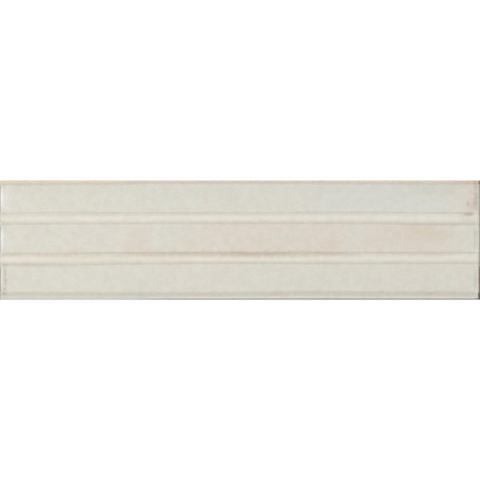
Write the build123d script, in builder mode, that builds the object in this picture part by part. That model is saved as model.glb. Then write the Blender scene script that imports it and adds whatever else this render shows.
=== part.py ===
from build123d import *
import os
from math import atan2, cos, degrees, radians, sin

# A pressed and glazed wall tile, lying on its back with its relief face up.
# Long way along X, short way along Y, back on the plane z = 0, millimetres.

# Relief across the tile
panel_count = 3
panel_width = 18.3
rib_width = 6.85
rib_rise = 1.2
crease_radius = 0.9
crease_angle = 10.0

# Rims along the two long edges: the relief sits nearer one edge, so the rims differ
narrow_rim_width = 1.8
narrow_rim_rise = 0.6
narrow_rim_shoulder = 0.6
wide_rim_width = 4.2
wide_rim_shoulder = 1.0

# Slab
length = 300.0
panel_height = 8.0
corner_radius = 0.8
back_edge_chamfer = 0.6

# Short ends: a low rim closes each panel, and the ribs run out past it
end_rim_reach = 3.2
end_rim_rise = 0.3
end_rim_shoulder = 1.6
end_crease_radius = 0.9
rib_end_radius = 1.0

# Keyed back: shallow recesses with sloped walls, between lands that lie on the bed
key_columns = 12
key_rows = 3
key_border = 5.0
key_land = 4.0
key_depth = 0.9
key_corner_radius = 2.0
key_draft = 30.0

# Worked-out sizes
panels_and_ribs = panel_count * panel_width + (panel_count - 1) * rib_width
width = narrow_rim_width + panels_and_ribs + wide_rim_width
crest_height = panel_height + rib_rise
first_crease = width / 2 - narrow_rim_width
last_crease = wide_rim_width - width / 2


def rolled_step(foot, run, rise, hollow_radius):
    """Climb from a flat to a crest: a hollow arc that starts at the crease angle, then a round one."""
    start = radians(crease_angle)
    reach = abs(run) + hollow_radius * sin(start)
    slope = 2 * atan2(rise + hollow_radius * (1 - cos(start)), reach)
    round_radius = reach / sin(slope) - hollow_radius
    side = 1 if run > 0 else -1
    hollow = JernArc(foot, (side * cos(start), sin(start)), hollow_radius, side * degrees(slope - start))
    return JernArc(hollow @ 1, hollow % 1, round_radius, -side * degrees(slope))


def half_bar(crease, run, rise):
    """Face under one rolled step across the tile, from its crease to its crest and down to the back."""
    with BuildLine() as outline:
        riser = Line((crease, 0), (crease, panel_height))
        top = rolled_step(riser @ 1, run, rise, crease_radius)
        middle = Line(top @ 1, (crease + run, 0))
        Line(middle @ 1, riser @ 0)
    make_face(outline.edges())


def edge_bar(wall, shoulder, rise):
    """Face under a rim's rounded shoulder, from its crest out to the long edge of the tile."""
    side = 1 if wall > 0 else -1
    with BuildLine() as outline:
        middle = Line((wall - side * shoulder, 0), (wall - side * shoulder, panel_height + rise))
        turn = JernArc(middle @ 1, (side, 0), shoulder, -side * 90)
        outside = Line(turn @ 1, (wall, 0))
        Line(outside @ 1, middle @ 0)
    make_face(outline.edges())


with BuildPart() as wall_tile:
    # Ribs and rims, each one a bar with a rolled top
    with BuildSketch(Plane.YZ):
        for row in range(1, panel_count):
            upper_crease = first_crease - row * panel_width - (row - 1) * rib_width
            half_bar(upper_crease, -rib_width / 2, rib_rise)
            half_bar(upper_crease - rib_width, rib_width / 2, rib_rise)
        half_bar(first_crease, narrow_rim_width - narrow_rim_shoulder, narrow_rim_rise)
        edge_bar(width / 2, narrow_rim_shoulder, narrow_rim_rise)
        half_bar(last_crease, wide_rim_shoulder - wide_rim_width, rib_rise)
        edge_bar(-width / 2, wide_rim_shoulder, rib_rise)
    extrude(amount=length / 2, both=True)

    # Rounded ends of the ribs and rims
    with BuildSketch(Plane.XZ) as rib_side:
        with Locations((0, crest_height / 2)):
            Rectangle(length, crest_height)
        fillet(rib_side.vertices().group_by(Axis.Y)[-1], rib_end_radius)
    extrude(amount=width / 2, both=True, mode=Mode.INTERSECT)

    # Slab under the panels, with the low rim that closes them at each short end
    with BuildSketch(Plane.XZ):
        with BuildLine():
            centre = Line((0, 0), (0, panel_height))
            flat = Line(centre @ 1, (length / 2 - end_rim_reach, panel_height))
            crest = rolled_step(flat @ 1, end_rim_reach - end_rim_shoulder, end_rim_rise, end_crease_radius)
            turn = JernArc(crest @ 1, (1, 0), end_rim_shoulder, -90)
            end_wall = Line(turn @ 1, (length / 2, 0))
            Line(end_wall @ 1, centre @ 0)
        make_face()
        mirror(about=Plane.YZ)
    extrude(amount=width / 2 - narrow_rim_width / 2, both=True)

    # Rounded corners
    with BuildSketch(Plane.XY):
        RectangleRounded(length, width, corner_radius)
    extrude(amount=crest_height, mode=Mode.INTERSECT)
    chamfer(wall_tile.faces().sort_by(Axis.Z)[0].outer_wire().edges(), back_edge_chamfer)

    # Keyed back
    key_length = (length - 2 * key_border + key_land) / key_columns
    key_width = (width - 2 * key_border + key_land) / key_rows
    with BuildSketch(Plane.XY):
        with GridLocations(key_length, key_width, key_columns, key_rows):
            RectangleRounded(key_length - key_land, key_width - key_land, key_corner_radius)
    extrude(amount=key_depth, taper=key_draft, mode=Mode.SUBTRACT)

wall_tile.part.label = "wall_tile"
os.makedirs("parts", exist_ok=True)
export_step(wall_tile.part, "parts/wall_tile.step")
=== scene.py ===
"""A pressed wall tile with round ribs under a translucent, mottled glaze, lying on its back.

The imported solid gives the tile's box. The glazed piece is modelled around that box as one mesh:
a cut block is lifted into ribs and rims, closed at its short ends, keyed at the back, rounded by
subdivision and left as uneven as a hand-glazed face is. Sizes are in millimetres until they
reach Blender, which takes metres.
"""

import logging
import math
from dataclasses import dataclass, field
from enum import Enum
from typing import Callable

import bmesh
import bpy
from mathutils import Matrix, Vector


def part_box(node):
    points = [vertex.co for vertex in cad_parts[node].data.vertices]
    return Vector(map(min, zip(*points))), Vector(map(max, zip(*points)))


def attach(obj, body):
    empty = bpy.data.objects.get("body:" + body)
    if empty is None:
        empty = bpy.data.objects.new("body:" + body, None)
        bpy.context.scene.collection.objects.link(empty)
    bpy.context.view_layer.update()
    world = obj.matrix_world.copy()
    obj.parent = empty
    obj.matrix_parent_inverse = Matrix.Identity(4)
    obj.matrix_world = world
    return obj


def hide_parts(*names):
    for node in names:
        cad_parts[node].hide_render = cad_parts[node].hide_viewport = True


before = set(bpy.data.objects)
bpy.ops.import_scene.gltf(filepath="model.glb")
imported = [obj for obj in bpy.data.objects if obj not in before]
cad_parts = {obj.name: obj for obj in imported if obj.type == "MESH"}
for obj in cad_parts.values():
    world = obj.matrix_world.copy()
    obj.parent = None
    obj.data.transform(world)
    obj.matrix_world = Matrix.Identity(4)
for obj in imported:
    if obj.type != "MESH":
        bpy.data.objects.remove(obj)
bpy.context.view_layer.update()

log = logging.getLogger("wall_tile")

MM = 0.001

# How near to a line or a level a point counts as on it, mm
ON_LINE = 0.01

TILE_NODE = "wall_tile"
BODY = "root"

Socket = bpy.types.NodeSocket
Colour = tuple[float, float, float]
Place = tuple[float, float, float]
Line = tuple[float, float]


def linear(colour: Colour) -> tuple[float, float, float, float]:
    """Turn a colour as it is seen on a screen into the linear one that shaders take.

    Args:
        colour: Red, green and blue from 0 to 255.

    Returns:
        Linear red, green, blue and an alpha of 1.
    """
    parts = [value / 255 for value in colour]
    low, knee, lift, power = 12.92, 0.04045, 0.055, 2.4
    red, green, blue = (v / low if v <= knee else ((v + lift) / (1 + lift)) ** power for v in parts)
    return red, green, blue, 1.0


@dataclass(frozen=True)
class RolledStep:
    """A rib's flank: a round crown that turns into a hollow foot without a corner.

    Attributes:
        run: From the crest's line to the crease's, mm.
        rise: From the panel to the crest, mm.
        hollow: Radius of the foot, mm.
    """

    run: float
    rise: float
    hollow: float

    def height(self, distance: float) -> float:
        """Give the flank's height over the panel.

        Args:
            distance: How far from the crest's line, mm.

        Returns:
            The height, mm.
        """
        slope = 2 * math.atan2(self.rise, self.run)
        crown = self.run / math.sin(slope) - self.hollow
        if distance < crown * math.sin(slope):
            return self.rise - crown + math.sqrt(crown**2 - distance**2)
        rest = max(self.run - distance, 0.0)
        return self.hollow - math.sqrt(self.hollow**2 - rest**2)


@dataclass(frozen=True)
class Wander:
    """How far a line of the pressed and glazed face strays from straight along the tile.

    Attributes:
        stops: Pairs of a place along X and a shift along Y, both mm.
    """

    stops: tuple[Line, ...]

    def at(self, x: float) -> float:
        """Give the shift at a place, eased between the stops.

        Args:
            x: Place along the tile, mm.

        Returns:
            The shift along Y, mm.
        """
        for (x0, shift0), (x1, shift1) in zip(self.stops, self.stops[1:]):
            if x <= x1:
                part = max(x - x0, 0.0) / (x1 - x0)
                return shift0 + (shift1 - shift0) * part * part * (3 - 2 * part)
        return self.stops[-1][1]


@dataclass(frozen=True)
class Rib:
    """One whole rib of the face.

    Attributes:
        centre: Its line across the tile, mm.
        far: How its far crease wanders.
        near: How its near crease wanders.
    """

    centre: float
    far: Wander
    near: Wander

    def shift(self, x: float, across: float) -> float:
        """Give how far along Y a line strays; across runs from -1 at the near crease to 1."""
        share = min(max(across, -1.0), 1.0) / 2 + 0.5
        return self.near.at(x) * (1 - share) + self.far.at(x) * share


UPPER_RIB_FAR = Wander(((-150, -0.7), (-128, -0.1), (-108, 0.05), (-60, -0.25), (-10, -0.2),
                        (60, 0.05), (110, -0.05), (150, -0.25)))
UPPER_RIB_NEAR = Wander(((-150, -0.45), (-100, -0.2), (-20, 0.05), (40, 0.1), (85, 0.0),
                         (115, -0.5), (150, -0.5)))
LOWER_RIB_FAR = Wander(((-150, -1.0), (-125, -0.35), (-100, -0.4), (-80, 0.0), (-15, -0.05),
                        (20, -0.35), (42, 0.0), (62, -0.05), (80, 0.2), (150, 0.05)))
LOWER_RIB_NEAR = Wander(((-150, -0.4), (-134, -0.55), (-100, -0.55), (-70, -0.1), (0, 0.25), (50, 0.1),
                         (150, 0.25)))
NARROW_RIM = Wander(((-150, -0.6), (-80, -0.35), (-58, 0.2), (45, 0.25), (66, -0.2), (150, -0.3)))
WIDE_RIM = Wander(((-150, 0.25), (-20, 0.15), (12, 0.55), (48, 1.0), (80, 0.7), (125, 0.6), (150, 0.2)))


@dataclass
class ReliefTile:
    """The tile's single piece: clay body, ribbed face and glaze.

    Attributes:
        length, width: Outline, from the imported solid, mm.
        panel_level: Height of the sunk panels, mm.
        panel_width, rib_width, narrow_rim: The relief's steps across the tile, mm.
        rib_step, narrow_step, wide_step: Flanks of the ribs and of the two rims.
        rib_lines, narrow_lines, wide_lines: Cuts along the tile, from a crest's line outwards, mm.
        narrow_crest, wide_crest: From a long edge to its rim's crest, mm.
        narrow_shoulder, wide_shoulder: From a long edge inwards, and the height there, mm.
        panel_lines: Cuts along the tile in the panels, from each one's middle, mm.
        end_lines, end_panel, end_rib: From a short end inwards, and the heights there, mm.
        station_pitch: Between cuts across the tile, mm.
        wall_lines: Heights of the cuts around the side walls, mm.
        face_depth: How far under the panels' level the face's lowest points may lie, mm.
        chamfer, chamfer_margin: Width of the back's chamfer and of the flat cut beside it, mm.
        chamfer_crease, key_crease: How sharp the edges at the back stay, from 0 to 1.
        key_*: The keyed back's rows, lands and recesses, mm.
        waves: Name, size and height of each unevenness of the face, mm.
    """

    length: float
    width: float
    panel_level: float = 8.0
    panel_width: float = 18.3
    rib_width: float = 6.85
    narrow_rim: float = 1.8
    rib_step: RolledStep = RolledStep(run=3.425, rise=1.12, hollow=0.9)
    narrow_step: RolledStep = RolledStep(run=1.2, rise=0.55, hollow=0.4)
    wide_step: RolledStep = RolledStep(run=3.2, rise=1.1, hollow=0.9)
    rib_lines: tuple[float, ...] = (0.0, 1.1, 2.1, 2.9, 3.425, 4.2)
    narrow_lines: tuple[float, ...] = (0.0, 0.4, 0.8, 1.2, 2.0)
    wide_lines: tuple[float, ...] = (0.0, 1.0, 1.9, 2.7, 3.2, 4.0)
    narrow_crest: float = 0.6
    wide_crest: float = 0.95
    narrow_shoulder: tuple[Line, ...] = ((0.0, 0.1), (0.3, 0.5))
    wide_shoulder: tuple[Line, ...] = ((0.0, -0.1), (0.4, 0.62))
    panel_lines: tuple[float, ...] = (-3.0, 3.0)
    end_lines: tuple[float, ...] = (0.0, 0.3, 0.9, 1.6, 2.5, 3.3, 4.6)
    end_panel: tuple[float, ...] = (-0.55, 0.02, 0.2, 0.26, 0.11, -0.03, 0.0)
    end_rib: tuple[float, ...] = (0.4, 0.75, 1.0, 1.12, 1.12, 1.12, 1.12)
    station_pitch: float = 5.0
    wall_lines: tuple[float, ...] = (0.6, 2.4, 4.6, 6.6)
    face_depth: float = 1.0
    chamfer: float = 0.6
    chamfer_margin: float = 0.8
    chamfer_crease: float = 0.85
    key_crease: float = 0.8
    key_columns: int = 12
    key_rows: int = 3
    key_border: float = 5.0
    key_land: float = 4.0
    key_depth: float = 0.9
    key_slope: float = 0.52
    key_corner: float = 2.0
    waves: tuple[tuple[str, float, float], ...] = (("swell", 22.0, 0.14), ("ripple", 7.0, 0.05))
    name: str = "glazed_relief_tile"
    ribs: tuple[Rib, ...] = field(init=False)
    piece: bpy.types.Object = field(init=False)

    def __post_init__(self) -> None:
        """Set the ribs out from the narrow rim's crease."""
        upper = self.width / 2 - self.narrow_rim - self.panel_width - self.rib_width / 2
        lower = upper - self.panel_width - self.rib_width
        self.ribs = (Rib(upper, UPPER_RIB_FAR, UPPER_RIB_NEAR), Rib(lower, LOWER_RIB_FAR, LOWER_RIB_NEAR))

    def build(self) -> bpy.types.Object:
        """Model the piece from a block.

        Returns:
            The finished mesh object.
        """
        self.cut_block()
        self.key_back()
        self.write_plan()
        self.raise_relief()
        self.close_ends()
        self.wander()
        self.soften()
        self.undulate()
        return self.piece

    def select(self, keep: Callable[[Vector], bool]) -> None:
        """Select only the vertices at places that a test keeps, in edit mode.

        Args:
            keep: The test, which is given a place in mm.
        """
        bpy.ops.mesh.select_all(action="DESELECT")
        shell = bmesh.from_edit_mesh(self.piece.data)
        for vert in shell.verts:
            vert.select = keep(vert.co / MM)
        shell.select_flush(True)
        bmesh.update_edit_mesh(self.piece.data)

    def select_faces(self, keep: Callable[[Vector], bool]) -> None:
        """Select only the faces whose centres a test keeps, in edit mode.

        Args:
            keep: The test, which is given a face's centre in mm.
        """
        bpy.ops.mesh.select_mode(type="FACE")
        bpy.ops.mesh.select_all(action="DESELECT")
        shell = bmesh.from_edit_mesh(self.piece.data)
        for face in shell.faces:
            face.select = keep(face.calc_center_median() / MM)
        bmesh.update_edit_mesh(self.piece.data)

    def cut(self, place: Place, normal: Place) -> None:
        """Cut the selected faces along the plane through a place, in mm, with a normal."""
        bpy.ops.mesh.bisect(plane_co=[value * MM for value in place], plane_no=normal)

    def across(self) -> list[Line]:
        """List the lines that run along the tile, with the height of the relief on each.

        Returns:
            Pairs of a place across the tile and a height over the panel, mm, from near to far.
        """
        wall = self.width / 2
        pitch = self.panel_width + self.rib_width
        middle = self.ribs[0].centre - pitch / 2
        lines = [(middle + row * pitch + line, 0.0) for row in (-1, 0, 1) for line in self.panel_lines]
        for rib in self.ribs:
            for offset in self.rib_lines:
                height = self.rib_step.height(offset)
                lines += {(rib.centre - offset, height), (rib.centre + offset, height)}
        wide = self.wide_crest - wall
        narrow = wall - self.narrow_crest
        lines += [(wide + offset, self.wide_step.height(offset)) for offset in self.wide_lines]
        lines += [(narrow - offset, self.narrow_step.height(offset)) for offset in self.narrow_lines]
        lines += [(inset - wall, height) for inset, height in self.wide_shoulder]
        lines += [(wall - inset, height) for inset, height in self.narrow_shoulder]
        return sorted(lines)

    def stations(self) -> list[float]:
        """List the lines that run across the tile between its end rims.

        Returns:
            Their places along the tile, mm.
        """
        reach = self.length / 2 - self.end_lines[-1]
        count = round(2 * reach / self.station_pitch)
        return [-reach + 2 * reach * step / count for step in range(count + 1)]

    def cut_block(self) -> None:
        """Add a block up to the panels' level and cut it along every line of the relief."""
        bpy.ops.object.select_all(action="DESELECT")
        bpy.ops.mesh.primitive_cube_add(size=1, location=(0, 0, self.panel_level / 2 * MM))
        self.piece = bpy.context.object
        self.piece.name = self.name
        self.piece.scale = (self.length * MM, self.width * MM, self.panel_level * MM)
        bpy.ops.object.transform_apply(location=True, rotation=False, scale=True)
        bpy.ops.object.mode_set(mode="EDIT")
        for height in self.wall_lines:
            bpy.ops.mesh.select_all(action="SELECT")
            self.cut((0, 0, height), (0, 0, 1))
        upper = self.chamfer - ON_LINE
        for y, _ in self.across()[1:-1]:
            self.select(lambda place: place.z > upper)
            self.cut((0, y, 0), (0, 1, 0))
        wall = self.length / 2
        ends = [side * (wall - inset) for side in (-1, 1) for inset in self.end_lines[1:-1]]
        for x in ends + self.stations():
            self.select(lambda place: place.z > upper)
            self.cut((x, 0, 0), (1, 0, 0))

    def key_back(self) -> None:
        """Chamfer the back's outline and press the keyed recesses into it."""
        half_length, half_width = self.length / 2, self.width / 2
        column = (self.length - 2 * self.key_border + self.key_land) / self.key_columns
        row = (self.width - 2 * self.key_border + self.key_land) / self.key_rows
        recess = (column - self.key_land) / 2, (row - self.key_land) / 2
        columns = [(step - (self.key_columns - 1) / 2) * column for step in range(self.key_columns)]
        rows = [(step - (self.key_rows - 1) / 2) * row for step in range(self.key_rows)]
        edge = self.chamfer + self.chamfer_margin
        sides = (-1, 1)
        x_lines = [side * (half_length - edge) for side in sides]
        y_lines = [side * (half_width - edge) for side in sides]
        for inset in (0.0, self.key_corner):
            x_lines += [place + side * (recess[0] - inset) for place in columns for side in sides]
            y_lines += [place + side * (recess[1] - inset) for place in rows for side in sides]
        lower = self.chamfer + ON_LINE
        for x in x_lines:
            self.select(lambda place: place.z < lower)
            self.cut((x, 0, 0), (1, 0, 0))
        for y in y_lines:
            self.select(lambda place: place.z < lower)
            self.cut((0, y, 0), (0, 1, 0))

        # The outline of the back steps in by the chamfer
        self.select(lambda place: place.z < ON_LINE and abs(place.x) > half_length - ON_LINE)
        bpy.ops.transform.resize(value=(1 - self.chamfer / half_length, 1, 1), center_override=(0, 0, 0))
        self.select(lambda place: place.z < ON_LINE and abs(place.y) > half_width - ON_LINE)
        bpy.ops.transform.resize(value=(1, 1 - self.chamfer / half_width, 1), center_override=(0, 0, 0))
        self.select(lambda place: place.z < lower and max(
            abs(place.x) - half_length, abs(place.y) - half_width) > -self.chamfer - ON_LINE)
        bpy.ops.transform.edge_crease(value=self.chamfer_crease)

        def in_recess(place: Vector) -> bool:
            """Tell whether a place is in one of the recesses' outlines.

            Args:
                place: The place, mm.

            Returns:
                Whether it is.
            """
            in_column = any(abs(place.x - x) < recess[0] for x in columns)
            in_row = any(abs(place.y - y) < recess[1] for y in rows)
            return place.z < ON_LINE and in_column and in_row

        # Each recess sinks with a sloped wall
        self.select_faces(in_recess)
        bpy.ops.transform.edge_crease(value=self.key_crease)
        bpy.ops.mesh.inset(thickness=self.key_slope * MM, depth=-self.key_depth * MM)
        bpy.ops.mesh.select_mode(type="VERT")

    def write_plan(self) -> None:
        """Store each point's place in the straight plan, which the glaze follows once the ribs wander."""
        bpy.ops.object.mode_set(mode="OBJECT")
        mesh = self.piece.data
        plan = mesh.uv_layers[0] if mesh.uv_layers else mesh.uv_layers.new()
        plan.name = "plan"
        for loop in mesh.loops:
            place = mesh.vertices[loop.vertex_index].co / MM
            plan.data[loop.index].uv = place.x / self.length + 0.5, place.y / self.width + 0.5
        bpy.ops.object.mode_set(mode="EDIT")

    def raise_relief(self) -> None:
        """Lift each line of the relief, a little past its height where subdivision would lower it."""
        lines = self.across()
        level = self.panel_level - ON_LINE
        least = 0.001

        # Subdivision leaves a point with a sixth of each neighbour's height
        shares = 6
        for index, (y, height) in enumerate(lines):
            before = lines[max(index - 1, 0)][1]
            after = lines[min(index + 1, len(lines) - 1)][1]
            lift = height - (before - 2 * height + after) / shares
            if abs(lift) < least:
                continue
            self.select(lambda place: place.z > level and abs(place.y - y) < ON_LINE)
            bpy.ops.transform.translate(value=(0, 0, lift * MM))

    def close_ends(self) -> None:
        """Shape the low rim that closes the panels at each short end, and round off the ribs there."""
        lowest = self.panel_level - self.face_depth
        for inset, panel, rib in zip(self.end_lines, self.end_panel, self.end_rib):
            share = (rib - panel) / self.rib_step.rise
            reach = self.length / 2 - inset
            self.select(lambda place: place.z > lowest and abs(abs(place.x) - reach) < ON_LINE)
            bpy.ops.transform.resize(value=(1, 1, share), center_override=(0, 0, self.panel_level * MM))
            bpy.ops.transform.translate(value=(0, 0, panel * MM))

    def stray(self, x: float, y: float) -> float:
        """Give how far a point of the face strays from the straight plan.

        Args:
            x: Its place along the tile, mm.
            y: Its place across the tile, mm.

        Returns:
            The shift along Y, mm.
        """
        from_far, from_near = self.width / 2 - y, self.width / 2 + y
        for rib in self.ribs:
            if abs(y - rib.centre) < self.rib_lines[-1] + ON_LINE:
                return rib.shift(x, (y - rib.centre) / self.rib_step.run)
        if from_far < self.narrow_crest + self.narrow_lines[-1] + ON_LINE:
            return NARROW_RIM.at(x) * min(from_far / self.narrow_rim, 1.0)
        wide_rim = self.wide_crest + self.wide_step.run
        if from_near < self.wide_crest + self.wide_lines[-1] + ON_LINE:
            return WIDE_RIM.at(x) * min(from_near / wide_rim, 1.0)
        return 0.0

    def wander(self) -> None:
        """Let the ribs and rims stray from straight, all the points of one shift at a time."""
        shell = bmesh.from_edit_mesh(self.piece.data)
        step = 0.02
        moves: dict[int, list[bmesh.types.BMVert]] = {}
        for vert in shell.verts:
            x, y, z = vert.co / MM
            if z > self.panel_level - self.face_depth and abs(y) < self.width / 2 - ON_LINE:
                moves.setdefault(round(self.stray(x, y) / step), []).append(vert)
        for steps, verts in moves.items():
            bpy.ops.mesh.select_all(action="DESELECT")
            for vert in verts:
                vert.select = True
            shell.select_flush(True)
            bpy.ops.transform.translate(value=(0, steps * step * MM, 0))
        bpy.ops.object.mode_set(mode="OBJECT")

    def soften(self) -> None:
        """Round the whole form by subdivision."""
        self.group("face", lambda place: place.z > self.panel_level - self.face_depth)
        rounding = self.piece.modifiers.new("rounding", "SUBSURF")
        rounding.levels = 2
        rounding.render_levels = 2
        bpy.ops.object.modifier_apply(modifier=rounding.name)

    def group(self, name: str, keep: Callable[[Vector], bool]) -> None:
        """Put the vertices at places that a test keeps in a named group.

        Args:
            name: The group's name.
            keep: The test, which is given a place in mm.
        """
        bpy.ops.object.mode_set(mode="EDIT")
        self.select(keep)
        bpy.ops.object.vertex_group_add()
        self.piece.vertex_groups.active.name = name
        bpy.ops.object.vertex_group_assign()
        bpy.ops.object.mode_set(mode="OBJECT")

    def undulate(self) -> None:
        """Leave the face as uneven as poured glaze."""
        for name, size, height in self.waves:
            texture = bpy.data.textures.new(name, "CLOUDS")
            texture.noise_scale = size * MM
            texture.noise_depth = 1
            wave = self.piece.modifiers.new(name, "DISPLACE")
            wave.texture = texture
            wave.texture_coords = "LOCAL"
            wave.direction = "Z"
            wave.mid_level = 0.5
            wave.strength = height * MM
            wave.vertex_group = "face"
            bpy.ops.object.modifier_apply(modifier=wave.name)
            bpy.data.textures.remove(texture)
        bpy.ops.object.shade_smooth()


@dataclass
class Bench:
    """A material's node tree, with the few node forms that the finishes use."""

    tree: bpy.types.NodeTree

    def add(self, kind: str, *values: object, **settings: object) -> bpy.types.Node:
        """Add a node and fill its first inputs.

        Args:
            kind: The node's type, without its ShaderNode prefix.
            values: What the inputs take, in their order: sockets or plain values.
            settings: Properties to set on it.

        Returns:
            The node.
        """
        node = self.tree.nodes.new("ShaderNode" + kind)
        for name, value in settings.items():
            setattr(node, name, value)
        for target, value in zip(node.inputs, values):
            self.feed(target, value)
        return node

    def feed(self, target: Socket, source: object) -> None:
        """Link a socket to an input, or set the input where the source is a plain value.

        Args:
            target: The input.
            source: An output socket or a value.
        """
        if isinstance(source, bpy.types.NodeSocket):
            self.tree.links.new(source, target)
        else:
            target.default_value = source

    def maths(self, operation: str, *values: object) -> Socket:
        """Add a Math node and give its result."""
        return self.add("Math", *values, operation=operation).outputs[0]

    def vector(self, operation: str, *values: object) -> Socket:
        """Add a Vector Math node and give its result, which is a number for a length."""
        node = self.add("VectorMath", *values, operation=operation)
        return node.outputs["Value"] if operation == "LENGTH" else node.outputs[0]

    def apart(self, vector: Socket) -> list[Socket]:
        """Split a vector into its X, Y and Z."""
        return list(self.add("SeparateXYZ", vector).outputs)

    def ease(self, value: Socket, start: float, stop: float, low: float = 0.0, high: float = 1.0) -> Socket:
        """Ease from a low result to a high one while the value goes from a start to a stop."""
        node = self.add("MapRange", value, start, stop, low, high, interpolation_type="SMOOTHSTEP")
        return node.outputs["Result"]

    def noise(self, place: Socket, size: float, detail: float = 2.0) -> Socket:
        """Add noise.

        Args:
            place: Where it is read, mm.
            size: The size of its blotches, mm.
            detail: How many finer layers it has.

        Returns:
            The noise, which stays mostly between 0.3 and 0.7.
        """
        node = self.add("TexNoise", place)
        node.inputs["Scale"].default_value = 1 / size
        node.inputs["Detail"].default_value = detail
        return node.outputs["Fac"]

    def blend(self, mode: str, amount: object, base: object, layer: object) -> Socket:
        """Lay one colour over another.

        Args:
            mode: How they blend.
            amount: How much of the layer shows.
            base, layer: The two colours.

        Returns:
            The blended colour.
        """
        node = self.add("Mix", data_type="RGBA", blend_type=mode)
        self.feed(node.inputs["Factor"], amount)
        self.feed(node.inputs[6], base)
        self.feed(node.inputs[7], layer)
        return node.outputs[2]


def fresh_tree(owner: bpy.types.Material | bpy.types.World) -> Bench:
    """Give a material or a world an empty node tree.

    Args:
        owner: The material or the world.

    Returns:
        The bench that works on its tree.
    """
    owner.use_nodes = True
    owner.node_tree.nodes.clear()
    return Bench(owner.node_tree)


# The plain panels' colour, as it is seen
PANEL = (218, 216, 204)


class Tint(Enum):
    """Colours laid over the glaze in places, as seen where the plain panel would be; most are the glaze's
    own tints, some are painted light, painted reflection or painted shade.
    """

    # Painted light: a highlight on the left end's shoulders, and a lighter outer edge on the wide rim
    PALE = (250, 249, 238)
    # A pale ice blue, also used as painted reflection at the left ends of the top and middle panels
    ICE = (232, 234, 229)
    # Painted reflection of a bright window, cool grey
    COOL = (212, 218, 213)
    GREEN = (208, 214, 199)
    MINT = (215, 220, 206)
    PINK = (220, 208, 198)
    PINK_BROWN = (204, 184, 171)
    OCHRE = (214, 208, 186)
    BROWN = (192, 179, 155)
    CREAM = (234, 229, 214)
    # Painted shade in creases, on slopes, along edges and at the ends; also the grey of real specks and
    # blotches
    SHADE = (150, 151, 141)
    UMBER = (120, 95, 78)

    @property
    def multiplier(self) -> tuple[float, ...]:
        """Give what turns the plain panel's linear colour into this one."""
        return tuple(mine / plain for mine, plain in zip(linear(self.value), linear(PANEL)))


@dataclass(frozen=True)
class ColourPatch:
    """A place where the glaze has taken another colour, or where painted shade, a painted highlight or a
    painted reflection lies on it.

    Attributes:
        tint: The colour that it takes.
        x, y: Its middle, mm.
        half_x, half_y: How far it reaches from there, mm.
        strength: How much of the colour shows at its middle.
        ragged: How far its outline breaks up, as a share of its reach.
        soft: The share of its reach over which it fades.
    """

    tint: Tint
    x: float
    y: float
    half_x: float
    half_y: float
    strength: float
    ragged: float = 1.3
    soft: float = 1.0

    @property
    def scale(self) -> Place:
        """Give what turns mm into shares of its reach."""
        return 1 / self.half_x, 1 / self.half_y, 0

    @property
    def shift(self) -> Place:
        """Give what moves its middle to zero."""
        return -self.x / self.half_x, -self.y / self.half_y, 0

    def reach(self, bench: Bench, place: Socket, axes: list[Socket]) -> Socket:
        """Build how far a place is from the middle, as a share of the patch's reach."""
        return bench.vector("LENGTH", bench.vector("MULTIPLY_ADD", place, self.scale, self.shift))

    def mask(self, bench: Bench, place: Socket, axes: list[Socket], frays: dict[type, Socket]) -> Socket:
        """Build how strongly the patch shows.

        Args:
            bench: The material's bench.
            place: The place in the tile's plan, mm.
            axes: That place's X and Y.
            frays: The noise that breaks up the outline of each kind of patch.

        Returns:
            The mask, from 0 to the strength.
        """
        reach = self.reach(bench, place, axes)
        frayed = bench.maths("MULTIPLY_ADD", frays[type(self)], self.ragged, reach)
        outline = 1 + self.ragged / 2
        return bench.ease(frayed, start=outline, stop=outline - self.soft, high=self.strength)


class Cloud(ColourPatch):
    """A soft cloud."""


class Spot(ColourPatch):
    """A small spot."""


class Specks(ColourPatch):
    """A spot of fine specks."""


class Strip(ColourPatch):
    """A strip with straighter sides."""

    def reach(self, bench: Bench, place: Socket, axes: list[Socket]) -> Socket:
        """Build the greater one of a place's shares along and across the strip."""
        scaled = [bench.maths("MULTIPLY_ADD", *values) for values in zip(axes, self.scale, self.shift)]
        return bench.maths("MAXIMUM", *(bench.maths("ABSOLUTE", value) for value in scaled))


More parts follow.
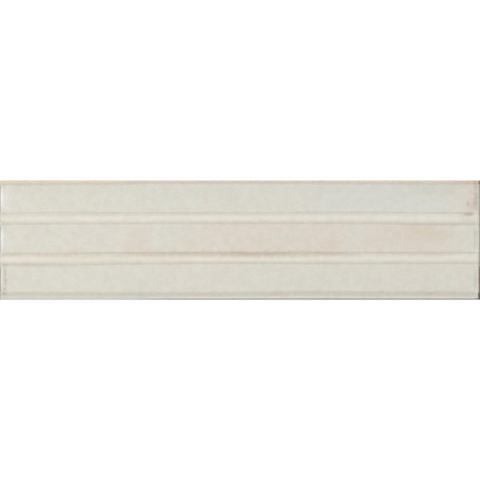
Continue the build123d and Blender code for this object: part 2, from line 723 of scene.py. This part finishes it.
# Each patch's tint, middle, reach and strength, then its raggedness and softness where they differ
TOP_PANEL_STAINS_AND_REFLECTION = (
    # Painted reflection at the panel's left end, pale and then cool
    Strip(Tint.ICE, -149, 26.5, 6.5, 12, 0.7, 0.5),
    Cloud(Tint.COOL, -142, 26, 4, 8, 0.3),
    Strip(Tint.MINT, -76, 26.5, 74, 12, 0.35, 0.5, 0.5),
    Strip(Tint.MINT, 18, 26.5, 22, 12, 0.3, 0.5, 0.5),
    # Painted reflection of a window across the right part of the panel
    Strip(Tint.COOL, 86, 26, 52, 12, 0.44, 0.2, 0.2),
    Strip(Tint.GREEN, 122, 31.5, 18, 4.5, 0.3, 0.7, 0.6),
    Strip(Tint.OCHRE, 122, 31.5, 18, 4.5, 0.3, 0.7, 0.6),
    Spot(Tint.PINK, -129, 33.4, 5, 0.9, 0.8),
    Spot(Tint.PINK, -129, 29.5, 6, 0.9, 0.5),
    Cloud(Tint.GREEN, -112, 27, 16, 9, 0.25),
    Cloud(Tint.GREEN, -28, 26, 7, 9, 0.4),
    Cloud(Tint.GREEN, -6, 26, 5, 8, 0.4),
    Cloud(Tint.PINK, -94, 26, 3.5, 6, 0.4),
    Cloud(Tint.PINK, -20, 28, 9, 6, 0.3),
    Spot(Tint.PINK_BROWN, 144.8, 21.8, 4.4, 8, 0.45),
    Spot(Tint.PINK_BROWN, 142.4, 22.4, 1.7, 2.2, 0.5, 0.7),
    Spot(Tint.SHADE, 142.2, 22.7, 2, 2.5, 0.2, 0.7),
    Specks(Tint.PINK, 144, 29.8, 3, 3.6, 0.9),
    Strip(Tint.BROWN, 147.9, 25, 2.2, 10.5, 0.3, 0.8),
    Strip(Tint.SHADE, 148.3, 25, 1.6, 10.5, 0.13, 0.8),
    Spot(Tint.SHADE, 147.2, 33.6, 2.4, 2.6, 0.4),
    Spot(Tint.PINK_BROWN, 141.4, 16.1, 6, 1.9, 0.6, 0.7),
    Spot(Tint.SHADE, 142.4, 16.6, 4.2, 1.4, 0.33, 0.7),
)

MIDDLE_PANEL_STAINS_AND_REFLECTION = (
    # Painted reflection at the panel's left end
    Strip(Tint.ICE, -149, 1, 3.5, 12, 0.6, 0.6),
    Strip(Tint.PINK, -65, 1.2, 11, 12, 0.45, 0.5, 0.6),
    Strip(Tint.PINK, -74, -4.4, 28, 2.8, 0.22, 0.6, 0.6),
    Strip(Tint.PINK, 21, 1.2, 51, 12, 0.5, 0.4, 0.25),
    Strip(Tint.PINK, 106, 1.2, 32, 12, 0.42, 0.5, 0.4),
    Cloud(Tint.GREEN, -118, 4, 14, 7, 0.3),
    Cloud(Tint.GREEN, -96, 6, 8, 5, 0.3),
    Cloud(Tint.OCHRE, -31, -2.5, 7, 6.5, 0.5),
    Cloud(Tint.OCHRE, 12, -1.5, 6, 5.5, 0.45),
    Cloud(Tint.OCHRE, 59, -1.5, 8, 4, 0.45),
    Cloud(Tint.OCHRE, 80, -1, 8, 4, 0.4),
    Cloud(Tint.OCHRE, 113, 3.8, 28, 8, 0.65),
    Spot(Tint.GREEN, -9, -1.5, 6, 3, 0.8),
    Spot(Tint.ICE, -12, -2.5, 4, 3, 0.25),
    Spot(Tint.GREEN, 29, 1.5, 5, 5, 0.6),
    Cloud(Tint.GREEN, 70, 3, 6, 7, 0.4),
    Spot(Tint.PINK_BROWN, -103, -6.5, 12, 1.8, 0.25),
)

LOWER_RIB_STAINS_AND_SHADE = (
    # Painted shade along the rib's far flank and crease
    Strip(Tint.SHADE, 0, -9.1, 160, 2.3, 0.17, 0.4),
    Strip(Tint.OCHRE, -36, -11, 112, 2.8, 0.38, 0.7, 0.6),
    Strip(Tint.BROWN, -34, -8.9, 112, 2.8, 0.17, 0.8),
    Strip(Tint.BROWN, -128, -9.3, 26, 1.4, 0.16, 0.5, 0.5),
    Strip(Tint.BROWN, -48, -8.4, 32, 2, 0.1, 0.8),
    Strip(Tint.BROWN, 14, -8.6, 36, 3.4, 0.25, 0.8),
    Strip(Tint.BROWN, 2, -7.3, 68, 1.2, 0.16, 0.7, 0.6),
    Strip(Tint.BROWN, 58, -8.6, 20, 2.2, 0.22, 0.8),
    Spot(Tint.CREAM, -16, -6.5, 3, 4.5, 0.6),
    Strip(Tint.CREAM, 0, -12.3, 58, 1, 0.4, 0.4, 0.6),
    Strip(Tint.PINK, -120, -9.3, 34, 3, 0.7, 0.8),
    # Painted shade in both creases at the left end, and on the far flank towards the right
    Strip(Tint.SHADE, -134, -14.9, 24, 1.8, 0.08, 0.6, 0.5),
    Strip(Tint.SHADE, -122, -15.9, 32, 1.2, 0.1, 0.4, 0.6),
    Strip(Tint.SHADE, -141, -7.3, 9, 1.4, 0.13, 0.4, 0.6),
    Strip(Tint.SHADE, 108, -9.1, 34, 1.5, 0.1, 0.3, 0.6),
)

RIM_STAINS_AND_PAINTED_LIGHT = (
    Strip(Tint.BROWN, -133, 37.6, 20, 0.9, 0.4, 0.2, 0.5),
    Strip(Tint.CREAM, -138, 36.9, 32, 1.4, 0.4, 0.7),
    Strip(Tint.CREAM, -96, 36.9, 28, 1.4, 0.25, 0.7),
    Strip(Tint.GREEN, -130, 34.8, 38, 1.5, 0.6, 0.6),
    Strip(Tint.PINK_BROWN, 140, 36.4, 14, 1.8, 0.35, 0.7),
    Strip(Tint.PINK_BROWN, 148.4, 36.4, 3.8, 1.8, 0.6, 0.4, 0.4),
    Spot(Tint.PINK_BROWN, 22, -34.2, 8, 1.6, 0.25),
    Spot(Tint.PINK_BROWN, 118, -34.2, 9, 1.6, 0.25),
    Spot(Tint.GREEN, -60, -34.5, 16, 1.8, 0.35),
    Spot(Tint.GREEN, 72, -34.5, 14, 1.8, 0.35),
    # Painted shade dimming the painted highlight line at the left
    Strip(Tint.SHADE, -145, -36, 125, 0.6, 0.16, 0.2, 0.4),
    # Painted light on the wide rim's outer edge at the left, which faces away from the lamp
    Strip(Tint.PALE, -150, -37.35, 112, 1.12, 1, 0.2, 0.4),
    Strip(Tint.PALE, -150, -37.5, 112, 0.98, 1, 0.2, 0.3),
    # Painted shade on the wide rim's outer edge towards the right end
    Strip(Tint.SHADE, 142, -37.2, 16, 1.2, 0.22, 0.4, 0.8),
    Strip(Tint.SHADE, 96, -37.5, 60, 0.8, 0.15, 0.2, 0.4),
)

BOTTOM_PANEL_STAINS_AND_SHADE = (
    # A grey band along the left end rim's crease, partly thick glaze and partly painted shade, then grey
    # specks along it
    Strip(Tint.SHADE, -146.8, -24.2, 1.7, 10.5, 0.14, 0.6),
    Spot(Tint.SHADE, -146.6, -20, 1.4, 3.6, 0.3),
    Spot(Tint.SHADE, -146.4, -25.6, 1.4, 2.4, 0.33),
    Spot(Tint.SHADE, -146.8, -30.2, 1.2, 1.6, 0.33),
    Spot(Tint.SHADE, -146.2, -15.2, 2.4, 1.5, 0.2),
    Spot(Tint.SHADE, -147.2, -34, 2.4, 1.4, 0.33),
    Cloud(Tint.GREEN, -130, -23, 16, 9, 0.3),
    Cloud(Tint.GREEN, -62, -27, 16, 7, 0.25),
    Cloud(Tint.GREEN, 62, -25, 26, 8, 0.3),
    Cloud(Tint.PINK, 20, -19, 14, 3, 0.35),
    Cloud(Tint.PINK, -28, -25, 12, 7, 0.25),
    Cloud(Tint.PINK, 92, -25, 16, 7, 0.2),
)

UPPER_RIB_PAINTED_SHADE = (
    # Painted shade: the rib's ends, its near crease, and its far slope and crease
    Strip(Tint.SHADE, -144, 13.8, 10, 3.2, 0.08, 0.4, 0.6),
    Strip(Tint.SHADE, 144, 13.8, 10, 3.2, 0.1, 0.4, 0.6),
    Strip(Tint.SHADE, 122, 10.3, 34, 1.1, 0.12, 0.4, 0.5),
    Strip(Tint.SHADE, 0, 15.9, 155, 1.4, 0.07, 0.3, 0.6),
    Strip(Tint.SHADE, -112, 15.6, 44, 1.5, 0.09, 0.3, 0.6),
    Spot(Tint.SHADE, 147, 16.5, 2.6, 1.3, 0.16),
)

# Middles of the panels and of the ribs across the tile, mm
PANEL_MIDDLES = (26.35, 1.2, -23.95)
RIB_MIDDLES = (13.8, -11.4)

END_STAINS_AND_PAINTED_LIGHT = (
    # Painted highlight on the left end's shoulders
    *(Strip(Tint.PALE, -149.5, middle, 3, 9.8, 0.42, 0.2, 0.9) for middle in PANEL_MIDDLES),
    # Painted shade along the left end's outer edge, with a brown tinge of thin glaze
    *(Strip(Tint.SHADE, -151, middle, 1.95, 9.6, 0.85, 0, 0.25) for middle in PANEL_MIDDLES),
    *(Strip(Tint.SHADE, -151, middle, 3.4, 3.4, 0.15, 0.3, 0.4) for middle in RIB_MIDDLES),
    Strip(Tint.SHADE, -151, 0, 2.6, 60, 0.3, 0.2, 0.4),
    Strip(Tint.BROWN, -151, 0, 1.95, 60, 0.4, 0, 0.25),
    Strip(Tint.UMBER, -151, -28, 1.95, 12, 0.4, 0, 0.25),
    # A darker strip in the right end rim's crease: thick glaze with painted shade
    *(Strip(Tint.SHADE, 147.2, middle, 1.5, 9.4, 0.28, 0.3, 0.7) for middle in PANEL_MIDDLES),
    # At the right end, thin glaze showing the brown body, with painted shade along the edge, in the creases
    # and at the corner
    Strip(Tint.UMBER, 151, -11.4, 3.2, 3.6, 0.2, 0.3, 0.4),
    Spot(Tint.SHADE, 149, -15.2, 3.2, 1.4, 0.26),
    Spot(Tint.SHADE, 149.6, -33.2, 2.4, 1.6, 0.3),
    Strip(Tint.UMBER, 151, 0, 2.1, 60, 0.45, 0.3, 0.3),
    Strip(Tint.UMBER, 151, -28, 2.3, 13, 1, 0.3, 0.3),
    Strip(Tint.UMBER, 151, -36, 2.9, 3, 0.8, 0.3, 0.4),
    Strip(Tint.UMBER, 151, 36.8, 2.5, 2, 0.9, 0.3, 0.4),
    Strip(Tint.SHADE, 150, -37.2, 3.8, 1.3, 0.7, 0.3, 0.5),
)


@dataclass(frozen=True)
class ClayBody:
    """The fired body that shows below the glaze's edge and on the back.

    Attributes:
        plain, dark: Its two tones.
        dusted: The tone of the lands that were rubbed pale.
        roughness: Its roughness.
        grain: Size of its grain, mm.
    """

    plain: Colour = (206, 173, 145)
    dark: Colour = (187, 150, 121)
    dusted: Colour = (221, 200, 178)
    roughness: float = 0.85
    grain: float = 0.8

    def colour(self, bench: Bench, solid: Socket) -> Socket:
        """Build the body's colour.

        Args:
            bench: The material's bench.
            solid: The place in the tile, mm.

        Returns:
            The colour.
        """
        patches = bench.ease(bench.noise(solid, size=16.0, detail=4.0), start=0.4, stop=0.62)
        base = bench.blend("MIX", patches, linear(self.plain), linear(self.dark))
        grains = bench.ease(bench.noise(solid, self.grain), start=0.34, stop=0.6, low=0.35, high=0.0)
        grained = bench.blend("MULTIPLY", grains, base, linear(self.dark))
        height = bench.apart(solid)[2]
        land = bench.ease(height, start=0.25, stop=0.02)
        worn = bench.noise(solid, size=9.0, detail=3.0)
        rubbed = bench.ease(worn, start=0.42, stop=0.6, low=0.1, high=0.75)
        return bench.blend("MIX", bench.maths("MULTIPLY", land, rubbed), grained, linear(self.dusted))


@dataclass(frozen=True)
class Glaze:
    """A translucent off-white glaze: thin and creamy on the ribs, thick and grey-green in the creases,
    where painted shade darkens it further.

    Attributes:
        crease, flank, crest: Its plain colours on a rib; the crease's is partly thick glaze and partly
            painted shade.
        rib_offsets: Where the panel's and those colours are, from a rib's centre, mm.
        narrow_rim, wide_rim: Distances from a long edge, mm, and the plain colours there. Both rims'
            creases are partly painted shade; the wide rim also has painted shade on its outer shoulder and
            a painted highlight along its crest.
        side: Its plain colour on the side walls.
        face_end, side_start: Heights between which the face's colours turn into the side's, mm.
        glossy, hazy: Its lowest and highest roughness.
        line: Height of its lower edge on the side walls, mm.
        runs, run_shape: How far that edge strays up and down, mm, and how its runs are drawn out.
        edge, thinning: Over what height the glaze ends, and thins above that, mm.
        bump: Depth of the finest relief, mm.
        second: How far off a second noise is read, mm.
        stains_and_painted_light: The places where it has taken another colour, and where shade, highlights
            and reflections are painted on.
        body: The clay that it lies on.
    """

    # Thick glaze and painted shade in the ribs' creases
    crease: Colour = (205, 202, 189)
    flank: Colour = (223, 220, 207)
    crest: Colour = (228, 225, 212)
    rib_offsets: tuple[float, ...] = (4.3, 3.5, 2.7, 1.5)
    # Thin pinkish glaze on the narrow rim's edge, and a crease that is partly painted shade
    narrow_rim: tuple[tuple[float, Colour], ...] = (
        (0.0, (222, 205, 183)), (0.9, (221, 208, 190)), (1.3, (223, 214, 199)), (1.9, (207, 200, 186)),
        (2.4, (210, 206, 193)), (3.2, (217, 214, 202)))
    # Painted shade on the outer shoulder, a painted highlight at the crest, then a crease partly darkened
    # as painted shade
    wide_rim: tuple[tuple[float, Colour], ...] = (
        (0.0, (160, 166, 155)), (0.5, (177, 181, 169)), (0.95, (200, 202, 190)), (1.2, (228, 227, 216)),
        (2.0, (209, 205, 193)), (4.2, (203, 201, 188)), (5.3, (217, 215, 203)))
    side: Colour = (202, 203, 190)
    face_end: float = 7.5
    side_start: float = 6.9
    glossy: float = 0.12
    hazy: float = 0.22
    line: float = 4.4
    runs: float = 5.0
    run_shape: Place = (1.0, 1.0, 0.25)
    edge: float = 0.5
    thinning: float = 1.1
    bump: float = 0.12
    second: Place = (311.0, 97.0, 0.0)
    stains_and_painted_light: tuple[ColourPatch, ...] = (*MIDDLE_PANEL_STAINS_AND_REFLECTION, *TOP_PANEL_STAINS_AND_REFLECTION, *BOTTOM_PANEL_STAINS_AND_SHADE,
                                 *UPPER_RIB_PAINTED_SHADE, *LOWER_RIB_STAINS_AND_SHADE, *RIM_STAINS_AND_PAINTED_LIGHT, *END_STAINS_AND_PAINTED_LIGHT)
    body: ClayBody = ClayBody()

    def across(self, tile: ReliefTile) -> list[tuple[float, Colour]]:
        """List the glaze's plain colour on its way across the tile.

        Args:
            tile: The tile that the glaze lies on.

        Returns:
            Pairs of a place across the tile, mm, and a colour.
        """
        wall = tile.width / 2
        stops: list[tuple[float, Colour]] = []
        for rib in tile.ribs:
            for offset, colour in zip(self.rib_offsets, (PANEL, self.crease, self.flank, self.crest)):
                stops += [(rib.centre + side * offset, colour) for side in (-1, 1)]
        stops += [(wall - inset, colour) for inset, colour in self.narrow_rim]
        stops += [(inset - wall, colour) for inset, colour in self.wide_rim]
        return sorted(stops)

    def plain(self, bench: Bench, plan: Socket, tile: ReliefTile) -> Socket:
        """Build the plain colour by its place across the tile.

        Args:
            bench: The material's bench.
            plan: The place in the plan, from 0 to 1.
            tile: The tile that the glaze lies on.

        Returns:
            The colour.
        """
        ramp = bench.add("ValToRGB")
        bench.feed(ramp.inputs[0], bench.apart(plan)[1])
        elements = ramp.color_ramp.elements
        for index, (y, colour) in enumerate(self.across(tile)):
            position = y / tile.width + 0.5
            stop = elements[index] if index < 2 else elements.new(position)
            stop.position = position
            stop.color = linear(colour)
        return ramp.outputs[0]

    def patched(self, bench: Bench, place: Socket, colour: Socket) -> Socket:
        """Lay each stain and each painted shade, highlight and reflection over the colour.

        Args:
            bench: The material's bench.
            place: The place in the tile's plan, mm.
            colour: The plain colour.

        Returns:
            The colour with the stains and painted light laid on.
        """
        fine = bench.noise(place, size=2.6, detail=3.0)
        frays = {Cloud: bench.noise(place, size=12.0, detail=3.0), Spot: fine, Strip: fine,
                 Specks: bench.noise(place, size=1.2, detail=1.0)}
        axes = bench.apart(place)[:2]
        for patch in self.stains_and_painted_light:
            mask = patch.mask(bench, place, axes, frays)
            colour = bench.blend("MULTIPLY", mask, colour, patch.tint.multiplier)
        return colour

    def mottled(self, bench: Bench, place: Socket, colour: Socket) -> Socket:
        """Let the colour drift between greenish and pinkish, with cloudy and fine grain.

        Args:
            bench: The material's bench.
            place: The place in the tile, mm.
            colour: The plain colour, or that colour with its stains and painted light laid on.

        Returns:
            The mottled colour.
        """
        green = bench.ease(bench.noise(place, size=17.0), start=0.42, stop=0.68, high=0.18)
        colour = bench.blend("MULTIPLY", green, colour, Tint.GREEN.multiplier)
        moved = bench.vector("ADD", place, self.second)
        pink = bench.ease(bench.noise(moved, size=19.0), start=0.42, stop=0.68, high=0.22)
        colour = bench.blend("MULTIPLY", pink, colour, Tint.PINK.multiplier)
        speck = bench.ease(bench.noise(moved, size=2.0, detail=1.0), start=0.35, stop=0.7, high=0.34)
        colour = bench.blend("MULTIPLY", speck, colour, Tint.PINK.multiplier)
        cloud = bench.ease(bench.noise(moved, size=4.5, detail=3.0), 0.3, 0.7, low=0.975, high=1.025)
        grain = bench.ease(bench.noise(place, size=0.9), 0.25, 0.75, low=0.955, high=1.045)
        shade = bench.maths("MULTIPLY", cloud, grain)
        grey = bench.add("CombineXYZ", shade, shade, shade).outputs[0]
        return bench.vector("MULTIPLY", colour, grey)

    def material(self, tile: ReliefTile) -> bpy.types.Material:
        """Build the glaze over its clay.

        Args:
            tile: The tile that the glaze lies on.

        Returns:
            The material.
        """
        material = bpy.data.materials.new("mottled_glaze")
        bench = fresh_tree(material)
        plan = bench.add("UVMap", uv_map="plan").outputs[0]
        size = (tile.length, tile.width, 0)
        half = (-tile.length / 2, -tile.width / 2, 0)
        place = bench.vector("MULTIPLY_ADD", plan, size, half)
        metres = bench.add("TexCoord").outputs["Object"]
        solid = bench.vector("MULTIPLY", metres, (1 / MM, 1 / MM, 1 / MM))

        colour = self.patched(bench, place, self.plain(bench, plan, tile))
        low = bench.ease(bench.apart(solid)[2], start=self.face_end, stop=self.side_start)
        colour = self.mottled(bench, solid, bench.blend("MIX", low, colour, linear(self.side)))

        stretched = bench.vector("MULTIPLY", solid, self.run_shape)
        wave = bench.noise(stretched, size=8.0, detail=3.0)
        drips = bench.maths("MULTIPLY_ADD", wave, self.runs, -self.runs / 2)
        above = bench.maths("SUBTRACT", bench.apart(solid)[2], drips)
        glazed = bench.ease(above, self.line - self.edge / 2, self.line + self.edge / 2)
        thin = bench.ease(above, start=self.line + self.thinning, stop=self.line, high=0.5)
        colour = bench.blend("MULTIPLY", thin, colour, Tint.BROWN.multiplier)
        colour = bench.blend("MIX", glazed, self.body.colour(bench, solid), colour)

        cloudy = bench.noise(place, size=11.0, detail=3.0)
        haze = bench.ease(cloudy, start=0.35, stop=0.65, low=self.glossy, high=self.hazy)
        roughness = bench.add("Mix", data_type="FLOAT")
        bench.feed(roughness.inputs["Factor"], glazed)
        roughness.inputs[2].default_value = self.body.roughness
        bench.feed(roughness.inputs[3], haze)

        output = bench.add("OutputMaterial")
        shader = bench.add("BsdfPrincipled")
        bench.feed(shader.inputs["Base Color"], colour)
        bench.feed(shader.inputs["Roughness"], roughness.outputs[0])
        bench.feed(shader.inputs["Normal"], self.relief(bench, solid, glazed))
        bench.feed(output.inputs["Surface"], shader.outputs[0])
        return material

    def relief(self, bench: Bench, solid: Socket, glazed: Socket) -> Socket:
        """Build the finest relief: the glaze's orange peel, its lower edge and the clay's grain.

        Args:
            bench: The material's bench.
            solid: The place in the tile, mm.
            glazed: Where the glaze is.

        Returns:
            The bumped normal.
        """
        peel = bench.ease(bench.noise(solid, size=2.4, detail=1.0), start=0.3, stop=0.7, high=0.16)
        rough = bench.noise(solid, self.body.grain, detail=3.0)
        grain = bench.ease(rough, start=0.3, stop=0.7, low=-0.9, high=-0.3)
        level = bench.add("Mix", data_type="FLOAT")
        bench.feed(level.inputs["Factor"], glazed)
        bench.feed(level.inputs[2], grain)
        bench.feed(level.inputs[3], peel)
        bump = bench.add("Bump")
        bump.inputs["Strength"].default_value = 0.5
        bump.inputs["Distance"].default_value = self.bump * MM
        bench.feed(bump.inputs["Height"], level.outputs[0])
        return bump.outputs[0]


@dataclass(frozen=True)
class SoftLamp:
    """A soft square lamp that faces the tile.

    Attributes:
        name: Its name.
        place: Where it hangs, m.
        side: Its size, m.
        power: Its power, W.
        mirrored: Whether the glaze mirrors it.
    """

    name: str
    place: Place
    side: float
    power: float
    mirrored: bool

    def hang(self) -> None:
        """Hang the lamp and turn it to the tile."""
        data = bpy.data.lights.new(self.name, "AREA")
        data.size = self.side
        data.energy = self.power
        lamp = bpy.data.objects.new(self.name, data)
        bpy.context.scene.collection.objects.link(lamp)
        lamp.location = self.place
        lamp.visible_glossy = self.mirrored
        lamp.rotation_euler = (-Vector(self.place)).to_track_quat("-Z", "Y").to_euler()


@dataclass
class Studio:
    """The pale floor, the soft light and the camera straight above the tile.

    Attributes:
        top: The tile's height, mm.
        lens, sensor: The camera's lens and sensor, mm.
        shown: How much of the tile's length the picture is wide, mm.
        rise: How far the picture's middle lies beyond the tile's, mm.
        nearest: The nearest thing that the camera shows, m.
        floor_side: The floor's size, m.
        floor_drop: How far the floor lies under the tile, mm.
        floor_grey, floor_glow: How much light it gives back, and how much it gives by itself.
        room: Strength of the light from all around.
        lamps: The lamps.
    """

    top: float
    lens: float = 200.0
    sensor: float = 36.0
    shown: float = 299.5
    rise: float = 0.06
    nearest: float = 0.05
    floor_side: float = 6.0
    floor_drop: float = 0.1
    floor_grey: float = 0.4
    floor_glow: float = 0.76
    room: float = 0.36
    lamps: tuple[SoftLamp, ...] = (
        SoftLamp("window_lamp", place=(-2.9, 0.3, 3.5), side=2.8, power=158.0, mirrored=False),
        SoftLamp("sheen_lamp", place=(-3.2, 0.6, 3.2), side=2.2, power=30.0, mirrored=True))

    def build(self) -> None:
        """Set up everything around the tile."""
        self.floor()
        self.world()
        for lamp in self.lamps:
            lamp.hang()
        self.camera()

    def seen(self, bench: Bench) -> Socket:
        """Tell rays that show the surroundings from rays that light the tile.

        Args:
            bench: The room's bench.

        Returns:
            1 for a ray that shows them, otherwise 0.
        """
        rays = bench.add("LightPath").outputs
        mirrored = bench.maths("MAXIMUM", rays["Is Glossy Ray"], rays["Is Transmission Ray"])
        return bench.maths("MAXIMUM", rays["Is Camera Ray"], mirrored)

    def floor(self) -> None:
        """Lay a wide white floor under the tile, which can't be seen from below."""
        bpy.ops.object.select_all(action="DESELECT")
        bpy.ops.mesh.primitive_plane_add(size=self.floor_side, location=(0, 0, -self.floor_drop * MM))
        floor = bpy.context.object
        floor.name = "floor"
        bench = fresh_tree(bpy.data.materials.new("white_floor"))
        output = bench.add("OutputMaterial")
        grey = self.floor_grey
        lit = bench.add("BsdfDiffuse", (grey, grey, grey, 1))
        glow = bench.add("Emission")
        glow.inputs["Strength"].default_value = self.floor_glow
        upper = bench.add("AddShader", lit.outputs[0], glow.outputs[0]).outputs[0]
        lower = bench.add("BsdfTransparent").outputs[0]
        side = bench.add("NewGeometry").outputs["Backfacing"]
        bench.feed(output.inputs["Surface"], bench.add("MixShader", side, upper, lower).outputs[0])
        floor.data.materials.append(bpy.data.materials["white_floor"])

        # The floor takes the tile's shadow, and the room's light still reaches the back
        floor.visible_diffuse = False
        floor.visible_shadow = False

    def world(self) -> None:
        """Surround the tile with even pale light."""
        world = bpy.data.worlds.new("pale_room")
        bpy.context.scene.world = world
        bench = fresh_tree(world)
        output = bench.add("OutputWorld")
        light = bench.add("Background", (1, 1, 1, 1), self.room)
        white = bench.add("Background", (1, 1, 1, 1))
        chosen = bench.add("MixShader", self.seen(bench), light.outputs[0], white.outputs[0])
        bench.feed(output.inputs["Surface"], chosen.outputs[0])

    def camera(self) -> None:
        """Look straight down, from where the tile fills the picture's width."""
        data = bpy.data.cameras.new("camera")
        data.lens = self.lens
        data.sensor_width = self.sensor
        data.clip_start = self.nearest
        camera = bpy.data.objects.new("camera", data)
        bpy.context.scene.collection.objects.link(camera)
        distance = self.shown * self.lens / self.sensor
        camera.location = (0, self.rise * MM, (self.top + distance) * MM)
        bpy.context.scene.camera = camera


def main() -> None:
    """Model, dress and light the tile."""
    logging.basicConfig(level=logging.INFO, format="%(name)s: %(message)s")
    low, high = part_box(TILE_NODE)
    extent = (Vector(high) - Vector(low)) / MM
    tile = ReliefTile(length=extent.x, width=extent.y)
    piece = tile.build()
    piece.data.materials.clear()
    piece.data.materials.append(Glaze().material(tile))
    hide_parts(TILE_NODE)
    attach(piece, BODY)
    log.info("%s has %d faces", piece.name, len(piece.data.polygons))
    Studio(top=extent.z).build()
    bpy.context.scene.view_settings.view_transform = "Standard"


if __name__ == "__main__":
    main()
